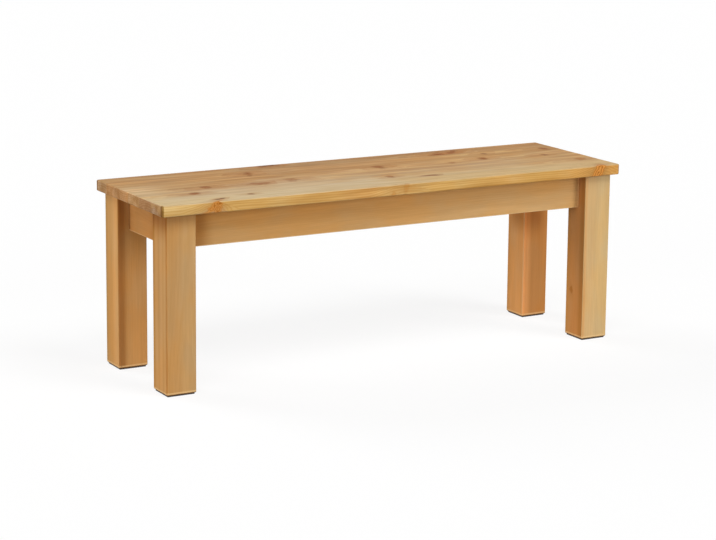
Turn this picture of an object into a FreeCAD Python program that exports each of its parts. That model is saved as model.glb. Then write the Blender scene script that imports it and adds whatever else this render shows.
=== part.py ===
import FreeCAD, Part
import math
import os

# A plain pine bench: a flat seat glued up from long staves, on four square legs.
# Four rails stand between the legs, close under the seat, and dowels locate their ends.
# Across each inner corner a bent steel bracket, held in the rails, draws the leg tight with a
# hanger bolt. A cleat along each long rail holds the seat with screws from below.
#
# Millimetres. The origin is on the floor under the middle of the bench, +X runs along its
# length to the right, +Y to its back and +Z up.

# Seat
SEAT_LENGTH = 1260.0
SEAT_WIDTH = 380.0
SEAT_THICKNESS = 26.0
SEAT_TOP_HEIGHT = 450.0
SEAT_STAVES = 6
SEAT_OVERHANG = 16.0
SEAT_CORNER_RADIUS = 6.0
SEAT_EDGE_RADIUS = 3.0

# Legs, each with a flat planed on its inner edge behind the rails, where the bolt goes in
LEG_SIDE = 75.0
LEG_EDGE_RADIUS = 3.0
LEG_FOOT_CHAMFER = 3.0
LEG_FLAT_WIDTH = 18.0

# Rails, centred on the legs
RAIL_HEIGHT = 84.0
RAIL_THICKNESS = 18.0
RAIL_EDGE_RADIUS = 1.5

# Dowels, two at each rail end
DOWEL_DIAMETER = 8.0
DOWEL_LENGTH = 40.0
DOWEL_BEVEL = 1.0
DOWEL_FROM_RAIL_EDGE = 20.0

# Cleats under the seat
CLEAT_SIDE = 20.0
CLEAT_EDGE_RADIUS = 1.0
CLEAT_BRACKET_GAP = 12.0
CLEAT_END_TO_SCREW = 40.0
CLEAT_SEAT_SCREWS = 5

# Corner brackets of bent sheet
BRACKET_SHEET = 2.0
BRACKET_HEIGHT = 50.0
BRACKET_WING = 25.0
BRACKET_LIP = 6.0
BRACKET_BEND_RADIUS = 2.0
BRACKET_LEG_GAP = 6.0
BRACKET_SCREW_SPACING = 28.0

# Hanger bolts with their washers and nuts
BOLT_DIAMETER = 8.0
BOLT_IN_LEG = 42.0
BOLT_TIP = 6.0
BOLT_PAST_NUT = 6.0
BOLT_BEVEL = 1.0
WASHER_DIAMETER = 16.0
WASHER_THICKNESS = 1.6
NUT_ACROSS_FLATS = 13.0
NUT_HEIGHT = 6.5
NUT_SIDES = 6

# Screws. A cover is the wood left in front of a screw's point.
SCREW_DIAMETER = 4.0
SCREW_TIP = 4.0
SCREW_HEAD_DIAMETER = 8.0
PAN_HEAD_HEIGHT = 2.6
PAN_HEAD_RADIUS = 1.4
RECESS_LENGTH = 4.2
RECESS_WIDTH = 1.0
RECESS_DEPTH = 1.5
SEAT_SCREW_COVER = 6.0
CLEAT_SCREW_COVER = 3.0
BRACKET_SCREW_COVER = 4.0

# Foot glides
GLIDE_THICKNESS = 3.0
GLIDE_EDGE_CHAMFER = 0.8
GLIDE_PEG_DIAMETER = 6.0
GLIDE_PEG_LENGTH = 14.0
GLIDE_PEG_BEVEL = 1.0

# Fits
HOLE_CLEARANCE = 0.1
HOLE_END_GAP = 1.0
KERF_CLEARANCE = 0.1
CUT_OVERRUN = 1.0

# Places that follow from the sizes. Those named LEG_X and LEG_Y are the legs' outer faces.
LEG_X = SEAT_LENGTH / 2 - SEAT_OVERHANG
LEG_Y = SEAT_WIDTH / 2 - SEAT_OVERHANG
SEAT_BOTTOM = SEAT_TOP_HEIGHT - SEAT_THICKNESS
RAIL_BOTTOM = SEAT_BOTTOM - RAIL_HEIGHT
RAIL_MIDDLE = SEAT_BOTTOM - RAIL_HEIGHT / 2
RAIL_SETBACK = (LEG_SIDE - RAIL_THICKNESS) / 2
RAIL_INNER_FACE = RAIL_SETBACK + RAIL_THICKNESS
DOWEL_HEIGHTS = (RAIL_BOTTOM + DOWEL_FROM_RAIL_EDGE, SEAT_BOTTOM - DOWEL_FROM_RAIL_EDGE)

# Distances along the diagonal of a corner, from the leg's outer edge inwards.
FLAT_DISTANCE = LEG_SIDE * math.sqrt(2) - LEG_FLAT_WIDTH / 2
WEB_DISTANCE = FLAT_DISTANCE + BRACKET_LEG_GAP
WASHER_DISTANCE = WEB_DISTANCE + BRACKET_SHEET
NUT_DISTANCE = WASHER_DISTANCE + WASHER_THICKNESS

# Places of a bracket's wing, from the leg's two outer faces: across the rail, then along it.
WING_FACE = RAIL_INNER_FACE + BRACKET_SHEET
WING_START = WEB_DISTANCE * math.sqrt(2) - RAIL_INNER_FACE
WING_END = WING_START + BRACKET_WING
INNER_BEND = WASHER_DISTANCE * math.sqrt(2) - WING_FACE
LIP_START = WING_END - BRACKET_SHEET
BRACKET_SCREW_PLACE = (WING_START + LIP_START) / 2
CLEAT_LENGTH = 2 * (LEG_X - WING_END - CLEAT_BRACKET_GAP)

SEAT_SCREW_LENGTH = CLEAT_SIDE + SEAT_THICKNESS - SEAT_SCREW_COVER
CLEAT_SCREW_LENGTH = CLEAT_SIDE + RAIL_THICKNESS - CLEAT_SCREW_COVER
BRACKET_SCREW_LENGTH = BRACKET_SHEET + RAIL_THICKNESS - BRACKET_SCREW_COVER

ORIGIN = FreeCAD.Vector(0, 0, 0)
RIGHT = FreeCAD.Vector(1, 0, 0)
BACK = FreeCAD.Vector(0, 1, 0)
UP = FreeCAD.Vector(0, 0, 1)
INWARDS = (RIGHT + BACK).normalize()
FULL_TURN = 360.0
DIAGONAL_TURN = FULL_TURN / 8
TOLERANCE = 1e-6

# Each corner's name, and whether the front left corner is mirrored along X and along Y to make it.
CORNERS = {
    "front_left": (False, False),
    "front_right": (True, False),
    "back_left": (False, True),
    "back_right": (True, True),
}


def span_box(x_span, y_span, z_span):
    """Block between two places on each axis."""
    starts = FreeCAD.Vector(x_span[0], y_span[0], z_span[0])
    ends = FreeCAD.Vector(x_span[1], y_span[1], z_span[1])
    size = ends - starts
    return Part.makeBox(size.x, size.y, size.z, starts)


def upright_edges(shape):
    """Edges that run straight up."""
    return [edge for edge in shape.Edges if edge.tangentAt(edge.FirstParameter).cross(UP).Length < TOLERANCE]


def edges_at_height(shape, height):
    """Edges that lie level at one height."""
    return [edge for edge in shape.Edges if all(abs(v.Z - height) < TOLERANCE for v in edge.Vertexes)]


def turned(outline):
    """Solid turned about Z from half its outline, given as (radius, height) points."""
    points = [FreeCAD.Vector(radius, 0, height) for radius, height in outline]
    face = Part.Face(Part.makePolygon(points + points[:1]))
    return face.revolve(ORIGIN, UP, FULL_TURN)


def pointed(shape, start, direction):
    """Move a shape made along +Z so that it starts at a place and runs in a direction."""
    placed = shape.copy()
    placed.Placement = FreeCAD.Placement(start, FreeCAD.Rotation(UP, direction))
    return placed


def at_corner(shape, corner):
    """Move a shape from the frame of a leg's outer edge to one corner of the bench.

    In that frame X and Y run inwards from the leg's two outer faces and Z is the bench's own.
    """
    placed = shape.translated(FreeCAD.Vector(-LEG_X, -LEG_Y, 0))
    mirror_x, mirror_y = CORNERS[corner]
    if mirror_x:
        placed = placed.mirror(ORIGIN, RIGHT)
    if mirror_y:
        placed = placed.mirror(ORIGIN, BACK)
    return placed


def swapped(shape):
    """Mirror a shape in a corner's diagonal, which swaps its two rails."""
    return shape.mirror(ORIGIN, (RIGHT - BACK).normalize())


def both_rails(shapes):
    """The given shapes of a corner's long rail, with their mirror images on its end rail."""
    return shapes + [swapped(shape) for shape in shapes]


# Fasteners, each made along +Z in the direction it is driven, with its head seated at zero


def pin_hole(diameter, depth):
    """Round hole for a pin, with clearance and with room past the pin's end."""
    return Part.makeCylinder(diameter / 2 + HOLE_CLEARANCE, depth + HOLE_END_GAP)


def cross_recess(top):
    """Cross-shaped tool that sinks a driver recess below the top of a head."""
    depth = (top - CUT_OVERRUN, top + RECESS_DEPTH)
    long = (-RECESS_LENGTH / 2, RECESS_LENGTH / 2)
    short = (-RECESS_WIDTH / 2, RECESS_WIDTH / 2)
    return span_box(long, short, depth).fuse(span_box(short, long, depth))


def countersunk_outline(length, clearance):
    """Half outline of a countersunk screw, grown by a clearance for its hole."""
    shank = SCREW_DIAMETER / 2 + clearance
    head = SCREW_HEAD_DIAMETER / 2 + clearance
    return [(0, 0), (head, 0), (shank, head - shank), (shank, length - SCREW_TIP), (0, length + clearance)]


def countersunk_screw(length):
    return turned(countersunk_outline(length, 0)).cut(cross_recess(0))


def countersunk_hole(length):
    return turned(countersunk_outline(length, HOLE_CLEARANCE))


def shank_outline(length, clearance):
    """Half outline of a screw's shank below its head, grown by a clearance for its hole."""
    shank = SCREW_DIAMETER / 2 + clearance
    return [(0, 0), (shank, 0), (shank, length - SCREW_TIP), (0, length + clearance)]


def pan_screw(length):
    head = Part.makeCylinder(SCREW_HEAD_DIAMETER / 2, PAN_HEAD_HEIGHT, UP * -PAN_HEAD_HEIGHT)
    head = head.makeFillet(PAN_HEAD_RADIUS, edges_at_height(head, -PAN_HEAD_HEIGHT))
    screw = head.fuse(turned(shank_outline(length, 0))).removeSplitter()
    return screw.cut(cross_recess(-PAN_HEAD_HEIGHT))


def pan_hole(length):
    return turned(shank_outline(length, HOLE_CLEARANCE))


def dowel():
    radius = DOWEL_DIAMETER / 2
    nose = radius - DOWEL_BEVEL
    shoulder = DOWEL_LENGTH - DOWEL_BEVEL
    start = [(0, 0), (nose, 0), (radius, DOWEL_BEVEL)]
    end = [(radius, shoulder), (nose, DOWEL_LENGTH), (0, DOWEL_LENGTH)]
    return turned(start + end)


def hanger_bolt():
    """Bolt from its pointed end in the leg to its bevelled end past the nut."""
    radius = BOLT_DIAMETER / 2
    length = BOLT_IN_LEG + NUT_DISTANCE - FLAT_DISTANCE + NUT_HEIGHT + BOLT_PAST_NUT
    nose = radius - BOLT_BEVEL
    return turned([(0, 0), (radius, BOLT_TIP), (radius, length - BOLT_BEVEL), (nose, length), (0, length)])


def washer():
    hole = Part.makeCylinder(BOLT_DIAMETER / 2 + HOLE_CLEARANCE, WASHER_THICKNESS)
    return Part.makeCylinder(WASHER_DIAMETER / 2, WASHER_THICKNESS).cut(hole)


def hex_nut():
    """Six-sided nut with its corners turned down on both faces."""
    corner_radius = NUT_ACROSS_FLATS / 2 / math.cos(math.pi / NUT_SIDES)
    bevel = corner_radius - NUT_ACROSS_FLATS / 2
    turns = [2 * math.pi * side / NUT_SIDES for side in range(NUT_SIDES + 1)]
    points = [FreeCAD.Vector(math.cos(turn), math.sin(turn), 0) * corner_radius for turn in turns]
    prism = Part.Face(Part.makePolygon(points)).extrude(UP * NUT_HEIGHT)
    blank = Part.makeCylinder(corner_radius, NUT_HEIGHT)
    rims = edges_at_height(blank, 0) + edges_at_height(blank, NUT_HEIGHT)
    bore = Part.makeCylinder(BOLT_DIAMETER / 2 + HOLE_CLEARANCE, NUT_HEIGHT)
    return prism.common(blank.makeChamfer(bevel, rims)).cut(bore)


# Pieces of one corner, in the frame of the leg's outer edge


def on_diagonal(distance):
    """Place on a corner's diagonal, at the height of the middle of the rails."""
    return INWARDS * distance + UP * RAIL_MIDDLE


def dowel_starts():
    """Outer end of each dowel of a corner's long rail, inside the leg."""
    along = LEG_SIDE - DOWEL_LENGTH / 2
    return [FreeCAD.Vector(along, LEG_SIDE / 2, height) for height in DOWEL_HEIGHTS]


def at_bracket_screws(shape):
    """Copies of a shape where a bracket's screws go outwards into its two rails."""
    half = BRACKET_SCREW_SPACING / 2
    heights = (RAIL_MIDDLE - half, RAIL_MIDDLE + half)
    starts = [FreeCAD.Vector(BRACKET_SCREW_PLACE, WING_FACE, height) for height in heights]
    return both_rails([pointed(shape, start, -BACK) for start in starts])


def corner_dowels():
    return both_rails([pointed(dowel(), start, RIGHT) for start in dowel_starts()])


def corner_bracket():
    """Sheet bent into a web across the corner, two wings on the rails and a lip into each rail."""
    half = [
        (WING_START, RAIL_INNER_FACE),
        (LIP_START, RAIL_INNER_FACE),
        (LIP_START, RAIL_INNER_FACE - BRACKET_LIP),
        (WING_END, RAIL_INNER_FACE - BRACKET_LIP),
        (WING_END, WING_FACE),
        (INNER_BEND, WING_FACE),
    ]
    outline = half + [(y, x) for x, y in reversed(half)]
    points = [FreeCAD.Vector(x, y, RAIL_MIDDLE - BRACKET_HEIGHT / 2) for x, y in outline]
    blank = Part.Face(Part.makePolygon(points + points[:1])).extrude(UP * BRACKET_HEIGHT)
    bolt_hole = Part.makeCylinder(BOLT_DIAMETER / 2 + HOLE_CLEARANCE, BRACKET_LEG_GAP + BRACKET_SHEET)
    screw_holes = at_bracket_screws(pan_hole(BRACKET_SCREW_LENGTH))
    return with_bends(blank).cut(screw_holes + [pointed(bolt_hole, on_diagonal(FLAT_DISTANCE), INWARDS)])


def with_bends(blank):
    """Round a bracket's bends, with the sheet's thickness between the inside and outside radius."""
    outsides = [(WING_START, RAIL_INNER_FACE), (WING_END, WING_FACE)]
    insides = [(INNER_BEND, WING_FACE), (LIP_START, RAIL_INNER_FACE)]
    bent = blank.makeFillet(BRACKET_BEND_RADIUS + BRACKET_SHEET, upright_edges_at(blank, outsides))
    return bent.makeFillet(BRACKET_BEND_RADIUS, upright_edges_at(bent, insides))


def upright_edges_at(shape, places):
    """Upright edges that stand at the given places, or at their mirror images in the diagonal."""
    wanted = [FreeCAD.Vector(x, y, 0) for x, y in places]
    wanted += [FreeCAD.Vector(y, x, 0) for x, y in places]
    found = []
    for edge in upright_edges(shape):
        foot = edge.Vertexes[0].Point
        foot.z = 0
        if any(foot.distanceToPoint(place) < TOLERANCE for place in wanted):
            found.append(edge)
    return found


def lip_kerfs():
    """Saw kerfs for the lips of a bracket and their bends, across the whole height of the rails."""
    along = (LIP_START - BRACKET_BEND_RADIUS, WING_END + KERF_CLEARANCE)
    depth = (RAIL_INNER_FACE - BRACKET_LIP - KERF_CLEARANCE, RAIL_INNER_FACE + CUT_OVERRUN)
    height = (RAIL_BOTTOM - CUT_OVERRUN, SEAT_BOTTOM + CUT_OVERRUN)
    return both_rails([span_box(along, depth, height)])


def corner_holes():
    """Everything that is drilled or sawn in the legs and rails of one corner."""
    dowel_hole = pin_hole(DOWEL_DIAMETER, DOWEL_LENGTH + HOLE_END_GAP)
    dowel_holes = [pointed(dowel_hole, start - RIGHT * HOLE_END_GAP, RIGHT) for start in dowel_starts()]
    bolt_hole = pointed(pin_hole(BOLT_DIAMETER, BOLT_IN_LEG), on_diagonal(FLAT_DISTANCE), -INWARDS)
    peg_foot = FreeCAD.Vector(LEG_SIDE / 2, LEG_SIDE / 2, GLIDE_THICKNESS)
    peg_hole = pointed(pin_hole(GLIDE_PEG_DIAMETER, GLIDE_PEG_LENGTH), peg_foot, UP)
    screw_holes = at_bracket_screws(pan_hole(BRACKET_SCREW_LENGTH))
    return both_rails(dowel_holes) + screw_holes + lip_kerfs() + [bolt_hole, peg_hole]


def footed_block(side, z_span, chamfer):
    """Square block with the leg's eased upright edges and a chamfer round its foot."""
    block = span_box(side, side, z_span)
    eased = block.makeFillet(LEG_EDGE_RADIUS, upright_edges(block))
    return eased.common(block.makeChamfer(chamfer, edges_at_height(block, z_span[0])))


def leg():
    """Square leg with eased edges, a chamfered foot and the flat for the bolt behind the rails."""
    block = footed_block((0, LEG_SIDE), (GLIDE_THICKNESS, SEAT_BOTTOM), LEG_FOOT_CHAMFER)
    past_flat = (FLAT_DISTANCE, FLAT_DISTANCE + LEG_FLAT_WIDTH)
    across = (-LEG_FLAT_WIDTH, LEG_FLAT_WIDTH)
    waste = span_box(past_flat, across, (RAIL_BOTTOM, SEAT_BOTTOM + CUT_OVERRUN))
    return block.cut(waste.rotate(ORIGIN, UP, DIAGONAL_TURN))


def glide():
    """Plate under a leg, with a peg up into it."""
    side = (LEG_FOOT_CHAMFER, LEG_SIDE - LEG_FOOT_CHAMFER)
    plate = footed_block(side, (0, GLIDE_THICKNESS), GLIDE_EDGE_CHAMFER)
    radius = GLIDE_PEG_DIAMETER / 2
    shoulder = GLIDE_PEG_LENGTH - GLIDE_PEG_BEVEL
    outline = [(0, 0), (radius, 0), (radius, shoulder), (radius - GLIDE_PEG_BEVEL, GLIDE_PEG_LENGTH)]
    peg = turned(outline + [(0, GLIDE_PEG_LENGTH)])
    return plate.fuse(pointed(peg, FreeCAD.Vector(LEG_SIDE / 2, LEG_SIDE / 2, GLIDE_THICKNESS), UP))


# Pieces of the whole bench


def rail(x_span, y_span):
    """Rail under the seat with all its edges eased."""
    block = span_box(x_span, y_span, (RAIL_BOTTOM, SEAT_BOTTOM))
    return block.makeFillet(RAIL_EDGE_RADIUS, block.Edges)


def rails():
    """The four rails, by the side of the bench that they are on."""
    along = (-LEG_X + LEG_SIDE, LEG_X - LEG_SIDE)
    across = (-LEG_Y + LEG_SIDE, LEG_Y - LEG_SIDE)
    front = rail(along, (-LEG_Y + RAIL_SETBACK, -LEG_Y + RAIL_INNER_FACE))
    left = rail((-LEG_X + RAIL_SETBACK, -LEG_X + RAIL_INNER_FACE), across)
    return {
        "front": front,
        "back": front.mirror(ORIGIN, BACK),
        "left": left,
        "right": left.mirror(ORIGIN, RIGHT),
    }


def cleat_screw_places():
    """Places along a cleat of its seat screws, and of its rail screws midway between them."""
    reach = CLEAT_LENGTH / 2 - CLEAT_END_TO_SCREW
    step = 2 * reach / (CLEAT_SEAT_SCREWS - 1)
    seat_places = [-reach + step * number for number in range(CLEAT_SEAT_SCREWS)]
    rail_places = [place + step / 2 for place in seat_places[:-1]]
    return seat_places, rail_places


def at_seat_screws(shape):
    """Copies of a shape where the seat screws go up through the front and back cleats."""
    middle = -LEG_Y + RAIL_INNER_FACE + CLEAT_SIDE / 2
    foot = SEAT_BOTTOM - CLEAT_SIDE
    seat_places, _ = cleat_screw_places()
    front = [pointed(shape, FreeCAD.Vector(x, middle, foot), UP) for x in seat_places]
    return front + [copy.mirror(ORIGIN, BACK) for copy in front]


def at_cleat_screws(shape):
    """Copies of a shape where the cleat screws go outwards into the front and back rails."""
    face = -LEG_Y + RAIL_INNER_FACE + CLEAT_SIDE
    height = SEAT_BOTTOM - CLEAT_SIDE / 2
    _, rail_places = cleat_screw_places()
    front = [pointed(shape, FreeCAD.Vector(x, face, height), -BACK) for x in rail_places]
    return front + [copy.mirror(ORIGIN, BACK) for copy in front]


def cleats():
    """The two cleats, against the long rails and the underside of the seat."""
    along = (-CLEAT_LENGTH / 2, CLEAT_LENGTH / 2)
    face = -LEG_Y + RAIL_INNER_FACE
    block = span_box(along, (face, face + CLEAT_SIDE), (SEAT_BOTTOM - CLEAT_SIDE, SEAT_BOTTOM))
    front = block.makeFillet(CLEAT_EDGE_RADIUS, block.Edges)
    return {"front": front, "back": front.mirror(ORIGIN, BACK)}


def seat_panel():
    """Whole seat with its corners rounded in plan and its rims eased."""
    half_length = SEAT_LENGTH / 2
    half_width = SEAT_WIDTH / 2
    spans = ((-half_length, half_length), (-half_width, half_width), (SEAT_BOTTOM, SEAT_TOP_HEIGHT))
    panel = span_box(*spans)
    panel = panel.makeFillet(SEAT_CORNER_RADIUS, upright_edges(panel))
    rims = edges_at_height(panel, SEAT_BOTTOM) + edges_at_height(panel, SEAT_TOP_HEIGHT)
    return panel.makeFillet(SEAT_EDGE_RADIUS, rims)


def seat_staves(panel):
    """The panel parted along its glue lines, from the front stave to the back one."""
    along = (-SEAT_LENGTH / 2 - CUT_OVERRUN, SEAT_LENGTH / 2 + CUT_OVERRUN)
    height = (SEAT_BOTTOM - CUT_OVERRUN, SEAT_TOP_HEIGHT + CUT_OVERRUN)
    width = SEAT_WIDTH / SEAT_STAVES
    fronts = [-SEAT_WIDTH / 2 + width * number for number in range(SEAT_STAVES)]
    return [panel.common(span_box(along, (front, front + width), height)) for front in fronts]


def at_corners(shapes):
    """Copies of one corner's shapes at all four corners."""
    return [at_corner(shape, corner) for corner in CORNERS for shape in shapes]


def bench():
    """Every piece of the bench by name. Like fasteners share a name."""
    seat_holes = at_seat_screws(countersunk_hole(SEAT_SCREW_LENGTH))
    cleat_holes = at_cleat_screws(countersunk_hole(CLEAT_SCREW_LENGTH))
    frame_holes = at_corners(corner_holes())

    pieces = {}
    for number, stave in enumerate(seat_staves(seat_panel().cut(seat_holes)), 1):
        pieces[f"seat_stave_{number}"] = stave
    for side, piece in rails().items():
        pieces[f"{side}_rail"] = piece.cut(frame_holes + cleat_holes)
    for side, piece in cleats().items():
        pieces[f"{side}_cleat"] = piece.cut(seat_holes + cleat_holes)

    whole_leg = leg().cut(corner_holes())
    bracket = corner_bracket()
    foot = glide()
    for corner in CORNERS:
        pieces[f"{corner}_leg"] = at_corner(whole_leg, corner)
        pieces[f"{corner}_bracket"] = at_corner(bracket, corner)
        pieces[f"{corner}_glide"] = at_corner(foot, corner)

    bolt = pointed(hanger_bolt(), on_diagonal(FLAT_DISTANCE - BOLT_IN_LEG), INWARDS)
    groups = {
        "rail_dowels": at_corners(corner_dowels()),
        "hanger_bolts": at_corners([bolt]),
        "bolt_washers": at_corners([pointed(washer(), on_diagonal(WASHER_DISTANCE), INWARDS)]),
        "bolt_nuts": at_corners([pointed(hex_nut(), on_diagonal(NUT_DISTANCE), INWARDS)]),
        "bracket_screws": at_corners(at_bracket_screws(pan_screw(BRACKET_SCREW_LENGTH))),
        "seat_screws": at_seat_screws(countersunk_screw(SEAT_SCREW_LENGTH)),
        "cleat_screws": at_cleat_screws(countersunk_screw(CLEAT_SCREW_LENGTH)),
    }
    for name, solids in groups.items():
        pieces[name] = Part.makeCompound(solids)
    return pieces


os.makedirs("parts", exist_ok=True)
for name, shape in bench().items():
    shape.exportStep(f"parts/{name}.step")
    print(name, "solids:", len(shape.Solids), "volume:", round(shape.Volume))
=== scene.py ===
# %% [markdown]
# A plain bench in solid pine: six staves glued into a seat, four square legs, and four rails between them.
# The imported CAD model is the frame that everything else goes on. Its nodes are already in metres and in
# place, so a piece made here is put where the CAD box says, with nothing to fit by eye.

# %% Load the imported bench
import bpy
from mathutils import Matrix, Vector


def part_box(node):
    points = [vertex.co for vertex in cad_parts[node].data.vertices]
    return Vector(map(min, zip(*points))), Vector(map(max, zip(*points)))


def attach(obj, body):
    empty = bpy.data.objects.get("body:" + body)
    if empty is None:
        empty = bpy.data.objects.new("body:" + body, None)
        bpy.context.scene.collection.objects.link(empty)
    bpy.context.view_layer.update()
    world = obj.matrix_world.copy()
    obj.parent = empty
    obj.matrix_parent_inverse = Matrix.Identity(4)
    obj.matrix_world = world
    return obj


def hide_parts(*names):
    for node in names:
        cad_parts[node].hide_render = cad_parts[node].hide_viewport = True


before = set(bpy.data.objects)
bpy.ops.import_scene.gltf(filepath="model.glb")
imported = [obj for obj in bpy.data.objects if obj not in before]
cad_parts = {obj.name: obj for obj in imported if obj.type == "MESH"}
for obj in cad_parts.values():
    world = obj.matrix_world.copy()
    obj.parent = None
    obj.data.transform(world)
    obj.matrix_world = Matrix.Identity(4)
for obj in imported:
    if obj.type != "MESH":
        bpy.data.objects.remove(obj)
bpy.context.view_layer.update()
print("nodes in the frame:", len(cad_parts))

# %% Blender's own modules
import math

import bpy
from mathutils import Matrix, Vector, noise

scene = bpy.context.scene
scene.view_settings.view_transform = "Standard"
print("view transform:", scene.view_settings.view_transform)

# %% [markdown]
# The photograph is taken from the front left, a little above the seat, with a long lens. The place and the
# three angles of the camera were worked out from the straight edges of the bench. The legs lean together
# less than a lens pointed straight at the bench would show, so the picture is shifted a little below the
# lens's axis. A camera in Blender looks down its own -Z, so its matrix is made from the three directions
# right, up and back.

# %% Directions of the camera
def camera_turn(yaw, pitch, roll):
    level_run = math.cos(pitch)
    ahead = Vector((-math.sin(yaw) * level_run, math.cos(yaw) * level_run, -math.sin(pitch)))
    level = Vector((math.cos(yaw), math.sin(yaw), 0))
    above = level.cross(ahead)
    right = math.cos(roll) * level + math.sin(roll) * above
    up = math.cos(roll) * above - math.sin(roll) * level
    return Matrix((right, up, -ahead)).transposed().to_4x4()


# %% Camera
CAMERA_PLACE = Vector((-2.6756, -4.6844, 1.4061))
CAMERA_YAW = math.radians(-29.564)
CAMERA_PITCH = math.radians(10.651)
CAMERA_ROLL = math.radians(0.571)
CAMERA_SENSOR = 36
CAMERA_LENS = 112.415
CAMERA_SHIFT = -0.1047
CAMERA_SIGHT = 200

camera_data = bpy.data.cameras.new("photo_camera")
camera_data.sensor_fit = "HORIZONTAL"
camera_data.sensor_width = CAMERA_SENSOR
camera_data.lens = CAMERA_LENS
camera_data.shift_y = CAMERA_SHIFT
camera_data.clip_end = CAMERA_SIGHT
camera = bpy.data.objects.new("photo_camera", camera_data)
turn = camera_turn(CAMERA_YAW, CAMERA_PITCH, CAMERA_ROLL)
camera.matrix_world = Matrix.Translation(CAMERA_PLACE) @ turn
scene.collection.objects.link(camera)
scene.camera = camera
print("camera", round(CAMERA_PLACE.length, 2), "m from the middle of the floor")


# %% [markdown]
# A finish is a graph of nodes. Wired one by one, even a short sum takes many lines, so a small class stands
# for a node's output, and Python's own signs add the Math nodes: 1 - mask is a Subtract node. Every other
# node comes from one method, which takes the kind of node, its settings and what goes into its sockets.

# %% Sums on sockets
def forward(operation):
    return lambda wire, other: wire.joined(operation, wire, other)


def reflected(operation):
    return lambda wire, other: wire.joined(operation, other, wire)


class Wire:
    def __init__(self, graph, socket):
        self.graph = graph
        self.socket = socket

    def joined(self, operation, first, second=0.0):
        return self.graph.node("Math", {"operation": operation}, {0: first, 1: second})

    def __abs__(self):
        return self.joined("ABSOLUTE", self)

    __add__ = forward("ADD")
    __radd__ = reflected("ADD")
    __sub__ = forward("SUBTRACT")
    __rsub__ = reflected("SUBTRACT")
    __mul__ = forward("MULTIPLY")
    __rmul__ = reflected("MULTIPLY")
    __truediv__ = forward("DIVIDE")
    __rtruediv__ = reflected("DIVIDE")
    __pow__ = forward("POWER")
    __rpow__ = reflected("POWER")
    __mod__ = forward("FLOORED_MODULO")
    __rmod__ = reflected("FLOORED_MODULO")
    nearer = forward("MINIMUM")
    farther = forward("MAXIMUM")


# %% [markdown]
# Nodes that come up often get a short method each. A step goes smoothly from 0 to 1 between two values, and
# a fade goes back. A Mix node has sockets for every kind of value: 6, 7 and output 2 are those for colours.
# Noise stays at scale 1, because the place that goes into it is stretched beforehand.

# %% A graph of nodes
BUMP_DEPTH = 0.001


class Graph:
    def __init__(self, tree):
        self.tree = tree
        self.tree.nodes.clear()

    def node(self, kind, settings=None, sockets=None, output=0):
        made = self.tree.nodes.new("ShaderNode" + kind)
        for setting, value in (settings or {}).items():
            setattr(made, setting, value)
        for socket, value in (sockets or {}).items():
            if isinstance(value, Wire):
                self.tree.links.new(value.socket, made.inputs[socket])
            else:
                made.inputs[socket].default_value = value
        return None if output is None else Wire(self, made.outputs[output])

    def vector(self, operation, first, second=(0, 0, 0), output=0):
        return self.node("VectorMath", {"operation": operation}, {0: first, 1: second}, output)

    def mixed(self, amount, first, second, way="MIX"):
        settings = {"data_type": "RGBA", "blend_type": way}
        return self.node("Mix", settings, {0: amount, 6: first, 7: second}, output=2)

    def tinted(self, amount, base, tint):
        return self.mixed(amount, base, tint, "MULTIPLY")

    def step(self, value, start, end):
        sockets = {"Value": value, "From Min": start, "From Max": end}
        return self.node("MapRange", {"interpolation_type": "SMOOTHSTEP"}, sockets)

    def fade(self, value, start, end):
        return 1 - self.step(value, start, end)

    def place(self):
        return self.node("TexCoord", output="Object")

    def parts(self, vector):
        outputs = self.node("SeparateXYZ", {}, {0: vector}).socket.node.outputs
        return [Wire(self, socket) for socket in outputs]

    def grey(self, light):
        return self.node("CombineXYZ", {}, {0: light, 1: light, 2: light})

    def cloud(self, vector, detail=2.0, output=0):
        sockets = {"Vector": vector, "Scale": 1.0, "Detail": detail}
        return self.node("TexNoise", {}, sockets, output)

    def speckle(self, place, stretch, detail=2.0):
        return self.cloud(self.vector("MULTIPLY", place, stretch), detail)

    def bump(self, height, strength):
        return self.node("Bump", {}, {"Strength": strength, "Distance": BUMP_DEPTH, "Height": height})

    def surface(self, sockets):
        shader = self.node("BsdfPrincipled", {}, sockets)
        self.node("OutputMaterial", {}, {"Surface": shader}, output=None)


# %% New finishes and their colours
def new_finish(name):
    material = bpy.data.materials.new(name)
    material.use_nodes = True
    return material, Graph(material.node_tree)


def colour(red, green, blue):
    channels = []
    for value in (red, green, blue):
        part = value / 255
        channels.append(part / 12.92 if part <= 0.04045 else ((part + 0.055) / 1.055) ** 2.4)
    return (*channels, 1.0)


def tint(red, green, blue):
    return (red, green, blue, 1.0)


WHITE = tint(1, 1, 1)
print("mid grey as a shader reads it:", round(colour(128, 128, 128)[0], 3))

# %% [markdown]
# The photograph is a cut-out on white. The floor and the sky are white only for the rays that the camera,
# a mirror or a glass sends, which Light Path tells apart, so that no extra light falls on the wood. The
# floor is also lit like any matt surface, and that part of it carries the soft shadow under the bench.

# %% White sky
SKY_LIGHT = 0.02


def seen_directly(graph):
    outputs = graph.node("LightPath").socket.node.outputs
    straight = Wire(graph, outputs["Is Camera Ray"])
    mirrored = Wire(graph, outputs["Is Glossy Ray"])
    through = Wire(graph, outputs["Is Transmission Ray"])
    return straight.farther(mirrored.farther(through))


world = bpy.data.worlds.new("studio_sky")
world.use_nodes = True
sky_graph = Graph(world.node_tree)
soft_sky = sky_graph.node("Background", {}, {"Color": WHITE, "Strength": SKY_LIGHT})
pure_sky = sky_graph.node("Background", {}, {"Color": WHITE, "Strength": 1.0})
sky = sky_graph.node("MixShader", {}, {0: seen_directly(sky_graph), 1: soft_sky, 2: pure_sky})
sky_graph.node("OutputWorld", {}, {"Surface": sky}, output=None)
scene.world = world
print("sky light", SKY_LIGHT)

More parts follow.
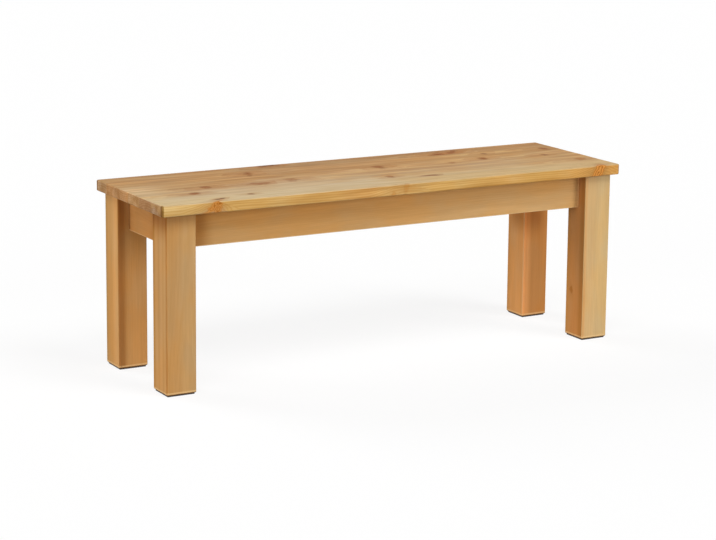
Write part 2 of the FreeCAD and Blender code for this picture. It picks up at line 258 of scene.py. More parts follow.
# %% White floor
FLOOR_SHADOW = 0.15
FLOOR_SIDE = 60.0
FLOOR_BOUNCE = tint(0.5, 0.5, 0.5)


def floor_white():
    material, graph = new_finish("floor_white")
    seen = seen_directly(graph)
    paper = graph.mixed(seen, FLOOR_BOUNCE, WHITE)
    matt = graph.node("BsdfDiffuse", {}, {"Color": paper})
    white = graph.node("Emission", {}, {"Color": WHITE, "Strength": 1.0})
    surface = graph.node("MixShader", {}, {0: seen * (1 - FLOOR_SHADOW), 1: matt, 2: white})
    graph.node("OutputMaterial", {}, {"Surface": surface}, output=None)
    return material


half = FLOOR_SIDE / 2
floor_mesh = bpy.data.meshes.new("floor")
floor_corners = [(-half, -half, 0), (half, -half, 0), (half, half, 0), (-half, half, 0)]
floor_mesh.from_pydata(floor_corners, [], [(0, 1, 2, 3)])
floor_mesh.materials.append(floor_white())
floor = bpy.data.objects.new("floor", floor_mesh)
scene.collection.objects.link(floor)
print("floor", FLOOR_SIDE, "m wide")

# %% [markdown]
# Plain studio light, as round a white table: two lamps high in front, which the overhang of the seat shades
# from the tops of the legs, a low one on the right, two low ones on the left and one behind. They are suns,
# because a sun has no fall-off over the length of a bench, and a wide angle gives each shadow a soft edge.
# Each is placed by a compass turn from straight in front, to the left, and by its height in degrees.

# %% Lamps
LAMP_SPREAD = math.radians(30)


def studio_sun(name, strength, turn, height):
    data = bpy.data.lights.new(name, "SUN")
    data.energy = strength * math.pi
    data.angle = LAMP_SPREAD
    lamp = bpy.data.objects.new(name, data)
    side = math.radians(turn)
    up = math.radians(height)
    direction = Vector((-math.sin(side) * math.cos(up), -math.cos(side) * math.cos(up), math.sin(up)))
    lamp.rotation_euler = direction.to_track_quat("Z", "Y").to_euler()
    scene.collection.objects.link(lamp)


studio_sun("right_high_lamp", strength=0.42, turn=-30, height=52)
studio_sun("left_high_lamp", strength=0.24, turn=30, height=52)
studio_sun("right_lamp", strength=0.48, turn=-30, height=10)
studio_sun("left_lamp", strength=0.36, turn=60, height=10)
studio_sun("left_back_lamp", strength=0.22, turn=120, height=10)
studio_sun("back_lamp", strength=0.50, turn=150, height=30)


# %% [markdown]
# Pine is drawn as a tree, not as a picture of a board. Every point of a board has a distance from the heart
# of the trunk it was sawn from, and that distance, divided by the width of a year's growth, gives the rings.
# The same sums then show long lines on a face that runs with the grain and arcs on a sawn end, and they meet
# at the edges by themselves, which a flat pattern laid over each face can't do.

# %% A board and its own directions
SEED_STRIDES = (1.37, 2.11, 0.73)


class Board:
    def __init__(self, graph, box, grain, seed):
        self.graph = graph
        low, high = box
        self.centre = (low + high) / 2
        half = (high - low) / 2
        self.order = {"x": (0, 1, 2), "y": (1, 0, 2), "z": (2, 0, 1)}[grain]
        self.half_length = half[self.order[0]]
        self.place = graph.place()
        offset = graph.parts(graph.vector("SUBTRACT", self.place, tuple(self.centre)))
        self.along, self.across, self.up = [offset[axis] for axis in self.order]
        self.local = graph.node("CombineXYZ", {}, {0: self.along, 1: self.across, 2: self.up})
        own_wood = tuple(seed * stride for stride in SEED_STRIDES)
        self.moved = graph.vector("ADD", self.local, own_wood)

    def drawn(self, along, across, detail=2.0, output=0):
        stretched = self.graph.vector("MULTIPLY", self.moved, (along, across, across))
        return self.graph.cloud(stretched, detail, output)


# %% Ends and edges of a board
END_START = 0.0002
END_DEPTH = 0.0022
EDGE_WIDTH = 0.003
EDGE_CORE = 0.3


def end_mask(board):
    from_end = board.half_length - abs(board.along)
    return board.graph.fade(from_end, END_START, END_DEPTH)


def inside_box(board, box):
    graph = board.graph
    low, high = box
    offset = graph.vector("SUBTRACT", board.place, tuple((low + high) / 2))
    inside = graph.vector("SUBTRACT", tuple((high - low) / 2), graph.vector("ABSOLUTE", offset))
    return graph.parts(inside)


def edge_mask(board, box):
    first, second, third = inside_box(board, box)
    middle = first.farther(second).nearer(third)
    second_nearest = first.nearer(second).farther(middle)
    return board.graph.fade(second_nearest, EDGE_WIDTH * EDGE_CORE, EDGE_WIDTH)


# %% [markdown]
# A knot is the foot of a branch: a cone of darker wood that runs outwards from the heart. The rings bend
# round it, and the wood beside it is stained along the grain. So a knot is a line from the heart through a
# point on the face, and everything follows from how far a point of the board is from that line. Knots are
# placed in millimetres, as a joiner would measure them.

# %% A knot
MILLIMETRES = 1000


class Knot:
    def __init__(self, x, y, radius, z=450.0, long=1.0, wide=1.3, slant=0.0, tail=3.0, dark=0.8, **kind):
        self.at = Vector((x, y, z)) / MILLIMETRES
        self.radius = radius / MILLIMETRES
        self.long = long
        self.wide = wide
        self.slant = slant
        self.tail = tail
        self.dark = dark
        self.orange = kind.get("orange", 0.0)
        self.bark = kind.get("bark", 0.0)
        self.lines = kind.get("lines", 0.5)
        self.soft = kind.get("soft", 0.45 + 0.3 * self.orange)
        self.rim = kind.get("rim", 1 - 0.2 * self.orange)
        self.ragged = kind.get("ragged", 1 - 0.5 * self.orange)


# %% How far a point is from a knot
KNOT_LEAN = 0.25


def knot_aside(board, knot, heart):
    graph = board.graph
    at = knot.at - board.centre
    start = Vector([at[axis] for axis in board.order])
    outwards = Vector((0, start[1] - heart[0], start[2] - heart[1]))
    outwards.x = KNOT_LEAN * outwards.length
    outwards.normalize()
    offset = graph.vector("SUBTRACT", board.local, tuple(start))
    run = graph.vector("DOT_PRODUCT", offset, tuple(outwards), output="Value")
    on_line = graph.node("VectorMath", {"operation": "SCALE"}, {0: tuple(outwards), "Scale": run})
    aside = graph.vector("SUBTRACT", offset, on_line)
    if knot.slant:
        across, up = graph.parts(aside)[1:]
        sheared = (across + up) * knot.slant
        aside = graph.vector("SUBTRACT", aside, graph.node("CombineXYZ", {}, {0: sheared}))
    past_the_bark = graph.step(run, knot.radius, knot.radius * 2)
    return aside, past_the_bark


def stretched_length(graph, aside, along, across):
    squeezed = graph.vector("MULTIPLY", aside, (1 / along, 1 / across, 1 / across))
    return graph.vector("LENGTH", squeezed, output="Value")


# %% Marks that knots leave
KNOT_WOBBLE = 2.8
TAIL_WOBBLE = 0.6
KNOT_BORDER = 1.1
KNOT_RINGS = 0.42
STAIN_REACH = 2.8
PUSH_REACH = 3.5
PUSH = 0.9
KNOT_MARKS = ("brown", "orange", "lines", "bark", "rim", "stain", "push")


def one_knot(board, knot, heart, wobble):
    graph = board.graph
    size = knot.radius
    ragged = wobble * (size * knot.ragged)
    aside, past_the_bark = knot_aside(board, knot, heart)
    near = stretched_length(graph, aside, knot.long, knot.wide) + ragged + past_the_bark
    tail = stretched_length(graph, aside, knot.long * knot.tail, knot.wide)
    far = tail + ragged * TAIL_WOBBLE + past_the_bark
    core = knot.dark * graph.fade(near, size * knot.soft, size * KNOT_BORDER)
    season = (near / (size * KNOT_RINGS)) % 1.0
    lines = graph.step(season, 0.3, 0.7) * graph.fade(season, 0.75, 1.0)
    rim = graph.step(near, size * 0.6, size * 0.95) * graph.fade(near, size, size * 1.35)
    return {
        "brown": core * (0.8 + 0.2 * lines) * ((1 - knot.orange) * (1 - knot.bark)),
        "orange": core * knot.orange,
        "lines": core * lines * (knot.orange * knot.lines),
        "bark": core * knot.bark,
        "rim": rim * (knot.dark * knot.rim),
        "stain": knot.dark * (1 - 0.7 * knot.orange) * graph.fade(far, 0, size * STAIN_REACH),
        "push": graph.fade(far, 0, size * PUSH_REACH) * (size * PUSH),
    }


def knot_marks(board, knots, heart):
    wobble = (board.drawn(along=38.0, across=110.0, detail=4.0) - 0.5) * KNOT_WOBBLE
    marks = dict.fromkeys(KNOT_MARKS, 0.0)
    for knot in knots:
        for mark, amount in one_knot(board, knot, heart, wobble).items():
            marks[mark] = marks[mark] + amount
    return marks


# %% [markdown]
# The colour of pine is two woods in one: pale early wood that grows in spring, and an orange line of late
# wood at the end of each year. The heart of the tree is redder than the sap wood round it. Over the rings
# come long soft streaks and fine fibres. A trunk is neither straight nor round, so the heart drifts along
# the board, the rings ripple, and the years differ in width.

# %% Rings
HEART_DRIFT = 0.035
RING_RIPPLE = 0.004
YEARS_ALIKE = 3
UNEVEN_YEARS = 1.6
LATE_FROM = 0.25
LATE_FULL = 0.88
LATE_UNTIL = 0.92
HEART_RAGGED = 0.016
HEART_BORDER = 0.004


def tree_rings(board, heart, ring_width, push):
    graph = board.graph
    drift = graph.parts(board.drawn(along=1.3, across=0.0, detail=1.0, output="Color"))
    aside = board.across - heart[0] + (drift[0] - 0.5) * HEART_DRIFT
    above = board.up - heart[1] + (drift[1] - 0.5) * HEART_DRIFT
    ripple = board.drawn(along=4.0, across=22.0) - 0.5
    radius = (aside * aside + above * above) ** 0.5 + ripple * RING_RIPPLE - push
    uneven = graph.cloud(graph.node("CombineXYZ", {}, {0: radius / (ring_width * YEARS_ALIKE)}))
    season = (radius / ring_width + UNEVEN_YEARS * uneven) % 1.0
    late = graph.step(season, LATE_FROM, LATE_FULL) * graph.fade(season, LATE_UNTIL, 1.0)
    return radius, late


def heart_wood(board, radius, size):
    ragged = (board.drawn(along=2.0, across=60.0) - 0.5) * HEART_RAGGED
    return board.graph.fade(radius + ragged, size - HEART_BORDER, size + HEART_BORDER)


# %% Colours of the wood
SEAT_WOOD = {
    "early_sap": colour(194, 149, 84),
    "late_sap": colour(173, 116, 46),
    "early_heart": colour(186, 146, 92),
    "late_heart": colour(160, 108, 54),
    "pale_streak": tint(1.15, 1.20, 1.34),
    "brown_streak": tint(0.85, 0.78, 0.68),
}
LEG_WOOD = {
    "early_sap": colour(219, 184, 126),
    "late_sap": colour(202, 156, 94),
    "early_heart": colour(195, 151, 94),
    "late_heart": colour(178, 126, 68),
    "pale_streak": tint(1.03, 1.03, 1.04),
    "brown_streak": tint(0.96, 0.94, 0.91),
}
COOL_PATCH = tint(0.98, 1.01, 1.06)
WARM_PATCH = tint(1.03, 0.98, 0.88)
STREAK_FROM = 0.34
STREAK_FULL = 0.66
PATCH_FROM = 0.36
PATCH_FULL = 0.64
FINE_LIGHT = 0.18
FIBRE_LIGHT = 0.10
PLAIN_LIGHT = 1 - (FINE_LIGHT + FIBRE_LIGHT) / 2


def wood_colour(board, wood, late, old):
    graph = board.graph
    streak = graph.step(board.drawn(along=2.6, across=34.0, detail=4.0), STREAK_FROM, STREAK_FULL)
    patches = graph.step(board.drawn(along=7.0, across=16.0, detail=3.0), PATCH_FROM, PATCH_FULL)
    fine = board.drawn(along=14.0, across=320.0)
    fibre = board.drawn(along=60.0, across=1700.0)
    sap = graph.mixed(late, wood["early_sap"], wood["late_sap"])
    red = graph.mixed(late, wood["early_heart"], wood["late_heart"])
    grain = graph.grey(PLAIN_LIGHT + FINE_LIGHT * fine + FIBRE_LIGHT * fibre)
    base = graph.tinted(1.0, graph.mixed(old, sap, red), grain)
    base = graph.tinted(1.0, base, graph.mixed(streak, wood["pale_streak"], wood["brown_streak"]))
    base = graph.tinted(1.0, base, graph.mixed(patches, COOL_PATCH, WARM_PATCH))
    return base, streak, fine, fibre


print("light of plain wood before its fibres:", round(PLAIN_LIGHT, 2))

# %% [markdown]
# Knots go over the wood layer by layer: the stain beside them, the orange wood of a live branch with its
# dark rings, the brown wood of an old one, its edge, and last the black bark that a dead branch keeps.

# %% Colours of a knot
KNOT_BROWN = colour(130, 68, 2)
KNOT_ORANGE = colour(206, 138, 64)
KNOT_LINE = colour(146, 86, 28)
KNOT_BARK = colour(64, 44, 10)
KNOT_EDGE = colour(108, 60, 10)
KNOT_STAIN = colour(160, 100, 40)
STAIN_SHARE = 0.5
EDGE_SHARE = 0.3


def knotted(graph, wood, marks):
    wood = graph.mixed(marks["stain"] * STAIN_SHARE, wood, KNOT_STAIN)
    wood = graph.mixed(marks["orange"], wood, KNOT_ORANGE)
    wood = graph.mixed(marks["lines"], wood, KNOT_LINE)
    wood = graph.mixed(marks["brown"], wood, KNOT_BROWN)
    wood = graph.mixed(marks["rim"] * EDGE_SHARE, wood, KNOT_EDGE)
    return graph.mixed(marks["bark"], wood, KNOT_BARK)


# %% [markdown]
# The seat is glued up from six staves, so it is six pieces here as well, each with its own tree behind it.
# The top is paler along the front, partly from wear where people sit and partly as painted sheen, and has
# whitish patches of wear and painted sheen behind that. They have no sharp border, so a soft cloud pushes
# them to and fro, and threads of the grain run through them.

# %% Size of the seat
STAVES = ["seat_stave_%d" % number for number in range(1, 7)]


def node_box(name):
    low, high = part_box(name)
    return Vector(low), Vector(high)


def box_of(points):
    low = [min(point[axis] for point in points) for axis in range(3)]
    high = [max(point[axis] for point in points) for axis in range(3)]
    return Vector(low), Vector(high)


SEAT_LOW, SEAT_HIGH = box_of([corner for name in STAVES for corner in node_box(name)])
print("seat", [round(value, 4) for value in SEAT_HIGH - SEAT_LOW])

# %% Worn top of the seat, with painted sheen
WEAR_AND_SHEEN_PALE = colour(202, 178, 134)
WEAR_AND_SHEEN_CHALK = colour(200, 182, 152)
WORN_DEPTH = 0.1
WORN_SHARE = 0.66
WORN_BLOTCHES = (6.0, 15.0, 0.0)
BLOTCH_REACH = 0.11
TOP_LAYER = 0.003
TOP_SKIN = 0.0005
WEAR_AND_SHEEN_PATCHES = [
    dict(middle=Vector((-0.33, -0.13, 0.45)), half=Vector((0.40, 0.13)), amount=0.48),
    dict(middle=Vector((-0.09, -0.04, 0.45)), half=Vector((0.24, 0.09)), amount=0.14),
    dict(middle=Vector((0.29, -0.05, 0.45)), half=Vector((0.20, 0.08)), amount=0.22),
]


def worn_and_sheen_top(board, wood):
    graph = board.graph
    place = graph.parts(board.place)
    blotches = graph.speckle(board.place, WORN_BLOTCHES, detail=3.0) - 0.5
    fibres = board.drawn(along=6.0, across=60.0, detail=3.0) - 0.5
    border = place[1] - SEAT_LOW.y + blotches * BLOTCH_REACH
    on_top = graph.step(place[2], SEAT_HIGH.z - TOP_LAYER, SEAT_HIGH.z - TOP_SKIN)
    front = on_top * graph.fade(border, WORN_DEPTH * 0.45, WORN_DEPTH * 1.45)
    # Paler along the front: wear where people sit, and painted sheen.
    worn = graph.mixed(front * WORN_SHARE, wood, WEAR_AND_SHEEN_PALE)
    # Whitish patches behind the front: wear and painted sheen.
    for patch in WEAR_AND_SHEEN_PATCHES:
        offset = graph.vector("SUBTRACT", board.place, tuple(patch["middle"]))
        share = graph.vector("MULTIPLY", offset, (1 / patch["half"].x, 1 / patch["half"].y, 0))
        spread = graph.vector("LENGTH", share, output="Value") + blotches * 1.3 + fibres * 1.2
        patch_wear_and_sheen = on_top * graph.fade(spread, 0.35, 1.25)
        worn = graph.mixed(patch_wear_and_sheen * patch["amount"], worn, WEAR_AND_SHEEN_CHALK)
    return worn


print("sheen_and_wear places behind the front:", len(WEAR_AND_SHEEN_PATCHES))

# %% Threads and corners of the seat
THREAD_PALE = tint(1.05, 1.06, 1.07)
THREAD_BROWN = tint(0.95, 0.92, 0.87)
CORNER_SHADE = tint(0.55, 0.46, 0.30)
CORNER_SHORT = 2.5
CORNER_FULL = 0.008
CORNER_REACH = 0.012


def threaded(board, wood):
    graph = board.graph
    threads = graph.step(board.drawn(along=8.0, across=110.0, detail=3.0), PATCH_FROM, PATCH_FULL)
    return graph.tinted(1.0, wood, graph.mixed(threads, THREAD_PALE, THREAD_BROWN))


# The rounded vertical corners of the seat are darkened: painted shade, on end grain that is darker there as
# well.
def dark_corners(board, wood):
    graph = board.graph
    from_end, from_front = inside_box(board, (SEAT_LOW, SEAT_HIGH))[:2]
    from_corner = (from_end * CORNER_SHORT).farther(from_front)
    return graph.tinted(graph.fade(from_corner, CORNER_FULL, CORNER_REACH), wood, CORNER_SHADE)


# %% [markdown]
# No two sticks of pine have the same tone, and none has one tone all over. So every timber has a tone, may
# have others at its left end and its top, and may carry bands. The tone at the top is painted shade under the
# seat, and some left-end tones and bands are painted shade and painted highlights, each marked where it is
# given. A band crosses one face and is placed in millimetres from the border of that face.

# %% Bands of darker and paler colour: wood, painted shade and painted highlights
BAND_CORE = 0.3
BAND_SKIN = 0.001
BAND_DEPTH = 0.003


class Band:
    def __init__(self, face, at, reach, tone, fade=None):
        self.face = face
        self.at = at / MILLIMETRES
        self.reach = reach / MILLIMETRES
        self.tone = tint(*tone)
        self.fade = fade


def banded(board, box, wood, bands):
    graph = board.graph
    low, high = box
    x, y, z = graph.parts(board.place)
    for band in bands:
        if band.face == "left":
            depth, from_border = x - low.x, high.y - y
        elif band.face == "top":
            depth, from_border = high.z - z, x - low.x
        else:
            depth, from_border = y - low.y, x - low.x
        amount = graph.fade(abs(from_border - band.at), band.reach * BAND_CORE, band.reach)
        amount = graph.fade(depth, BAND_SKIN, BAND_DEPTH) * amount
        if band.fade:
            start, end = band.fade
            amount = amount * graph.fade(high.z - z, start / MILLIMETRES, end / MILLIMETRES)
        wood = graph.tinted(amount, wood, band.tone)
    return wood


# %% Tones of one timber
PLAIN_TONE = (1, 1, 1)
LEFT_CORE = 0.15
TOP_SHADE_CORE = 0.01


def toned(board, box, wood, tree):
    graph = board.graph
    wood = graph.tinted(1.0, wood, tint(*tree.get("tone", PLAIN_TONE)))
    if "left_tone" in tree:
        from_left = graph.parts(board.place)[0] - box[0].x
        left = graph.fade(from_left, tree["left_reach"] * LEFT_CORE, tree["left_reach"])
        wood = graph.tinted(left, wood, tint(*tree["left_tone"]))
    # The tone at the top is painted shade under the seat.
    if "top_tone" in tree:
        from_top = box[1].z - graph.parts(board.place)[2]
        top = graph.fade(from_top, TOP_SHADE_CORE, tree["top_reach"])
        wood = graph.tinted(top, wood, tint(*tree["top_tone"]))
    return banded(board, box, wood, tree.get("bands", ()))


# %% [markdown]
# The foot of a leg has a painted highlight, a pale line a few millimetres up, and below it painted shade on
# the bottom edge.

# %% Foot of a leg
EDGE_WEAR_AND_HIGHLIGHT = colour(232, 196, 140)
FOOT_SHADE = tint(0.46, 0.38, 0.30)
FOOT_HIGHLIGHT = 0.45
ARRIS_FULL = 0.0020
ARRIS_TOP = 0.0035
HIGHLIGHT_FULL = 0.0055
HIGHLIGHT_TOP = 0.0080


def footed(board, box, wood):
    graph = board.graph
    above_foot = graph.parts(board.place)[2] - box[0].z
    painted_highlight = graph.step(above_foot, ARRIS_FULL, ARRIS_TOP) * graph.fade(above_foot, HIGHLIGHT_FULL, HIGHLIGHT_TOP)
    wood = graph.mixed(painted_highlight * FOOT_HIGHLIGHT, wood, EDGE_WEAR_AND_HIGHLIGHT)
    return graph.tinted(graph.fade(above_foot, ARRIS_FULL, ARRIS_TOP), wood, FOOT_SHADE)


# %% [markdown]
# All of it comes together in one finish: wood, tones and bands, some of them painted shade and highlights,
# wear and painted sheen on the seat, knots, sawn ends, which drink in more varnish and go brown, and edges,
# paler from wear and a painted highlight. The varnish is satin, so the roughness is near the middle, and
# fibres and late wood stand up under it by a hair's breadth.

# %% Pine
END_SHADE = (0.76, 0.70, 0.66)
PINE_GLOSS = 0.03
PINE_ROUGH = 0.46


def pine(name, box, tree, wood):
    material, graph = new_finish(name)
    board = Board(graph, box, tree["grain"], tree["seed"])
    knots = tree.get("knots", ())
    in_seat = tree.get("in_seat", False)
    marks = knot_marks(board, knots, tree["heart"])
    radius, late = tree_rings(board, tree["heart"], tree["ring_width"], marks["push"])
    old = heart_wood(board, radius, tree["heart_size"])
    base, streak, fine, fibre = wood_colour(board, wood, late * tree["lines"], old)
    base = toned(board, box, base, tree)
    if in_seat:
        base = threaded(board, worn_and_sheen_top(board, base))
    if knots:
        base = knotted(graph, base, marks)
    ends = end_mask(board)
    edges = edge_mask(board, (SEAT_LOW, SEAT_HIGH) if in_seat else box)
    base = graph.tinted(ends, base, tint(*tree.get("end_tone", END_SHADE)))
    # Paler edges: wear and a painted highlight on the rounded edge.
    base = graph.mixed(edges * tree.get("arris", 0.0), base, EDGE_WEAR_AND_HIGHLIGHT)
    if tree.get("foot"):
        base = footed(board, box, base)
    if in_seat:
        base = dark_corners(board, base)
    rough = PINE_ROUGH + 0.10 * fibre - 0.06 * streak + 0.12 * ends - 0.06 * edges
    height = late * 0.05 + fine * 0.04 + fibre * 0.03 + ends * fibre * 0.1
    sockets = {"Base Color": base, "Roughness": rough, "Normal": graph.bump(height, strength=0.5)}
    sockets["Specular IOR Level"] = PINE_GLOSS
    graph.surface(sockets)
    return material


# %% [markdown]
# A stave could be a box with a bevel, but a planed board is never quite flat: it cups a little between the
# joints and stands up at the knots, and that is what makes the sheen on the top uneven. So each stave is a
# grid of points that is rounded at the outer edges and then moved by a fraction of a millimetre.

# %% Rounded corners of the seat
CORNER_RADIUS = 0.006


def between(value, low, high):
    return min(max(value, low), high)


def rounded_plan(x, y):
    low, high, radius = SEAT_LOW, SEAT_HIGH, CORNER_RADIUS
    core_x = between(x, low.x + radius, high.x - radius)
    core_y = between(y, low.y + radius, high.y - radius)
    core = Vector((core_x, core_y))
    offset = Vector((x, y)) - core
    if offset.x and offset.y:
        reach = max(abs(offset.x), abs(offset.y))
        outwards = offset.normalized()
        return core + outwards * reach, outwards, radius - reach
    sides = [
        (x - low.x, Vector((-1, 0))),
        (high.x - x, Vector((1, 0))),
        (y - low.y, Vector((0, -1))),
        (high.y - y, Vector((0, 1))),
    ]
    inside, outwards = min(sides, key=lambda side: side[0])
    return Vector((x, y)), outwards, inside


# %% Rounded rim of the seat
RIM_RADIUS = 0.003


def rounded_place(x, y, z):
    plan, outwards, inside = rounded_plan(x, y)
    below = min(z - SEAT_LOW.z, SEAT_HIGH.z - z)
    if inside < RIM_RADIUS and below < RIM_RADIUS:
        arm = Vector((RIM_RADIUS - inside, RIM_RADIUS - below)).normalized() * RIM_RADIUS
        plan = plan + outwards * (inside - RIM_RADIUS + arm.x)
        sunk = RIM_RADIUS - arm.y
        z = SEAT_LOW.z + sunk if z - SEAT_LOW.z < SEAT_HIGH.z - z else SEAT_HIGH.z - sunk
    return Vector((plan.x, plan.y, z))


# %% Relief of a planed board
CUP = 0.00012
WAVE = 0.00012
WAVE_ALONG = 5
WAVE_ACROSS = 11
WAVE_LAYER = 0.3
KNOT_RISE = 0.00020
KNOT_LENGTH = 2.0


def top_relief(x, y, low_y, high_y, cup, knots):
    place = (y - low_y) / (high_y - low_y)
    rise = CUP * cup * (1 - (2 * place - 1) ** 2)
    rise += WAVE * noise.noise(Vector((x * WAVE_ALONG, y * WAVE_ACROSS, WAVE_LAYER)))
    for knot in knots:
        reach = math.hypot((x - knot.at.x) / KNOT_LENGTH, y - knot.at.y) / knot.radius
        rise += KNOT_RISE * knot.dark * math.exp(-reach * reach)
    return rise


# %% Lines of the grid on a stave
RIM_STEPS = 4


def grid_lines(low, high, step, round_low, round_high):
    arc = [RIM_RADIUS * part / RIM_STEPS for part in range(RIM_STEPS + 1)]
    arc += [CORNER_RADIUS * 0.75, CORNER_RADIUS]
    lines = [low + place for place in arc] if round_low else [low]
    tail = [high - place for place in reversed(arc)] if round_high else [high]
    count = max(1, round((tail[0] - lines[-1]) / step))
    gap = (tail[0] - lines[-1]) / count
    middle = [lines[-1] + gap * number for number in range(1, count)]
    return lines + middle + tail


# %% Faces of a stave
def face_keys(counts, axis, side):
    first, second = [other for other in range(3) if other != axis]
    for i in range(counts[first] - 1):
        for j in range(counts[second] - 1):
            quad = []
            for step_i, step_j in ((0, 0), (1, 0), (1, 1), (0, 1)):
                key = [0, 0, 0]
                key[axis] = side
                key[first] = i + step_i
                key[second] = j + step_j
                quad.append(tuple(key))
            turned = (side == 0) != (axis == 1)
            yield tuple(reversed(quad)) if turned else tuple(quad)


def outer_quads(counts, first, last):
    quads = []
    for axis in range(3):
        for side in (0, counts[axis] - 1):
            glued = axis == 1 and not (first if side == 0 else last)
            if not glued:
                quads += list(face_keys(counts, axis, side))
    return quads


def joint_loops(counts, first, last):
    for row, glued in ((0, not first), (counts[1] - 1, not last)):
        if glued:
            loop = [(i, row, 0) for i in range(counts[0])]
            loop += [(counts[0] - 1, row, k) for k in range(1, counts[2])]
            loop += [(i, row, counts[2] - 1) for i in range(counts[0] - 2, -1, -1)]
            loop += [(0, row, k) for k in range(counts[2] - 2, 0, -1)]
            yield loop if row == 0 else loop[::-1]


# %% One stave
GRID_ALONG = 0.006
GRID_ACROSS = 0.005
SEAT_BORDER = 0.001
SHARP_ANGLE = math.radians(35)


def smooth_mesh(name, points, faces):
    mesh = bpy.data.meshes.new(name)
    mesh.from_pydata(points, [], faces)
    mesh.validate()
    mesh.shade_smooth()
    mesh.set_sharp_from_angle(angle=SHARP_ANGLE)
    return mesh


def stave_mesh(name, cup, knots):
    low, high = node_box(name)
    first = low.y - SEAT_LOW.y < SEAT_BORDER
    last = SEAT_HIGH.y - high.y < SEAT_BORDER
    lines = [
        grid_lines(low.x, high.x, GRID_ALONG, True, True),
        grid_lines(low.y, high.y, GRID_ACROSS, first, last),
        grid_lines(low.z, high.z, GRID_ACROSS, True, True),
    ]
    counts = [len(line) for line in lines]
    quads = outer_quads(counts, first, last)
    keys = sorted({key for quad in quads for key in quad})
    index = {key: number for number, key in enumerate(keys)}
    points = []
    for key in keys:
        x, y, z = [lines[axis][key[axis]] for axis in range(3)]
        point = rounded_place(x, y, z)
        if key[2] == 0:
            point.z -= top_relief(x, y, low.y, high.y, cup, ())
        elif key[2] == counts[2] - 1:
            point.z += top_relief(x, y, low.y, high.y, cup, knots)
        points.append(point)
    loops = quads + list(joint_loops(counts, first, last))
    faces = [[index[key] for key in loop] for loop in loops]
    return smooth_mesh(name + "_planed", points, faces)


# %% [markdown]
# Now each stave gets its tree, its tones and its knots. They are numbered from the front, and the front one
# also shows its edge, where orange knots are cut through. Most are paler towards the left end.

# %% From a tree to a stave
STAVE_LINES = 0.45
STAVE_LEFT = 0.13


def add_piece(name, mesh, material, nodes):
    mesh.materials.append(material)
    piece = bpy.data.objects.new(name, mesh)
    scene.collection.objects.link(piece)
    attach(piece, "root")
    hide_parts(*nodes)
    return piece


def stave(name, cup, knots, **looks):
    tree = dict(grain="x", lines=STAVE_LINES, left_reach=STAVE_LEFT, in_seat=True, knots=knots)
    tree.update(looks)
    material = pine(name + "_pine", node_box(name), tree, SEAT_WOOD)
    mesh = stave_mesh(name, cup, knots)
    piece = add_piece(name + "_planed", mesh, material, [name])
    print(piece.name, "points", len(mesh.vertices), "knots", len(knots))


# %% Front stave
stave(
    "seat_stave_1", heart=(0.008, -0.047), ring_width=0.0044, heart_size=0.040, seed=3, cup=1,
    tone=(0.98, 1.00, 1.04), end_tone=(0.67, 0.57, 0.60),
    left_tone=(1.12, 1.35, 1.75), left_reach=0.75,
    bands=[
        Band("front", at=275, reach=150, tone=(1.09, 1.11, 1.16)),
        Band("front", at=510, reach=70, tone=(0.95, 0.91, 0.92)),
        Band("front", at=787, reach=190, tone=(0.96, 1.04, 1.12)),
        Band("front", at=1023, reach=95, tone=(0.93, 0.90, 0.77)),
        Band("front", at=1250, reach=48, tone=(1.24, 1.20, 1.12)),
    ],
    knots=[
        Knot(x=-504, y=-190, z=437, radius=12, long=1.2, wide=2.0, slant=1.1, tail=1.6,
             orange=0.8, dark=1.0, lines=0.9, soft=0.3, rim=0.0),
        Knot(x=-489, y=-190, z=435, radius=10, wide=1.5, slant=0.3, tail=1.6,
             orange=0.75, dark=1.0, lines=0.9, soft=0.3, rim=0.0),
        Knot(x=567, y=-190, z=437, radius=19, wide=1.6, slant=0.4, tail=1.3,
             orange=1.0, dark=0.95, lines=0.95, soft=0.45, rim=0.5, ragged=0.4),
        Knot(x=7, y=-190, z=442, radius=7, tail=6.0, dark=0.35, orange=0.5),
        Knot(x=-28, y=-190, z=426, radius=6, tail=5.0, dark=0.35, orange=0.8),
        Knot(x=-481, y=-167, radius=4, long=2.0, wide=1.0, dark=0.95, bark=1.0),
        Knot(x=-464, y=-160, radius=4, long=1.6, wide=1.2, dark=0.95, bark=1.0),
        Knot(x=-383, y=-138, radius=7, dark=0.8, bark=0.3),
    ],
)

# %% Second and third stave
stave(
    "seat_stave_2", heart=(-0.01, -0.09), ring_width=0.0050, heart_size=0.14, seed=11, cup=-1,
    tone=(0.99, 0.98, 0.98), end_tone=(0.60, 0.49, 0.51),
    left_tone=(1.18, 1.38, 1.65),
    knots=[
        Knot(x=-495, y=-76, radius=12, long=1.2, dark=0.9),
        Knot(x=21, y=-88, radius=9, wide=1.6, dark=0.7),
        Knot(x=123, y=-119, radius=7, long=2.6, wide=1.6, slant=-1.0, tail=1.5, dark=0.9, bark=0.25),
        Knot(x=586, y=-80, radius=15, wide=1.2, dark=0.85, orange=0.4),
    ],
)
stave(
    "seat_stave_3", heart=(0.01, -0.08), ring_width=0.0042, heart_size=0.14, seed=19, cup=1,
    tone=(1.01, 1.04, 1.10), end_tone=(0.77, 0.66, 0.57),
    left_tone=(1.13, 1.27, 1.60),
    knots=[
        Knot(x=-441, y=-14, radius=12, wide=1.8, dark=0.8),
        Knot(x=-306, y=-29, radius=11, long=2.2, tail=4.0, dark=0.75),
        Knot(x=-212, y=-14, radius=15, wide=1.5, tail=5.0, dark=0.7),
    ],
)

